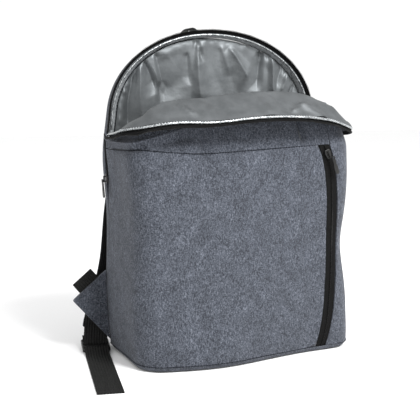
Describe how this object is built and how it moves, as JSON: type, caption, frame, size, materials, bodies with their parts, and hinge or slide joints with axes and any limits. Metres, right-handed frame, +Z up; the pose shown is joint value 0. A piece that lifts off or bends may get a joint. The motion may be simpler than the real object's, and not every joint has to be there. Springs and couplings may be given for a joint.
{
  "type": "cooler backpack",
  "caption": "Felt cooler backpack, its mouth unzipped and the front lip folded out over a foil lining, with shoulder straps, strap wings and trailing webbing.",
  "frame": {"origin": "middle of the flat base, on the floor", "axes": "+Z up, -Y to the bag's front, +Y to the shoulder straps, +X to the wearer's right hand"},
  "size_m": [0.3942, 0.407, 0.4078],
  "materials": {
    "felt": "matt blue-grey felt, mottled",
    "foil_lining": "soft silver foil, crinkled",
    "zip_tape": "matt black woven tape",
    "webbing": "matt black ribbed webbing",
    "strap_backing": "matt black mesh",
    "black_plastic": "satin black",
    "grey_metal": "satin dark grey"
  },
  "bodies": {
    "root": {"pocket_panel": "felt", "collar_panel": "felt", "side_panel_right": "felt", "bottom_panel": "felt", "back_panel": "felt", "back_gusset": "felt", "lining_wall": "foil_lining", "lining_lip": "foil_lining", "lining_back": "foil_lining", "lining_strip": "foil_lining", "lining_floor": "foil_lining", "mouth_tape_back": "zip_tape", "mouth_tape_front": "zip_tape", "mouth_tape_left": "zip_tape", "mouth_tape_right": "zip_tape", "welt_back": "foil_lining", "welt_front": "foil_lining", "pocket_tape": "zip_tape", "pocket_slider": "black_plastic", "pocket_puller": "black_plastic", "mouth_slider": "grey_metal", "mouth_puller": "grey_metal", "haul_loop": "webbing", "strap_felt_left": "felt", "strap_felt_right": "felt", "strap_backing_left": "strap_backing", "strap_backing_right": "strap_backing", "wing_left": "felt", "wing_right": "felt", "ladder_lock_left": "black_plastic", "ladder_lock_right": "black_plastic", "lock_loop_left": "webbing", "lock_loop_right": "webbing", "webbing_left": "webbing", "webbing_right": "webbing"}
  },
  "joints": []
}
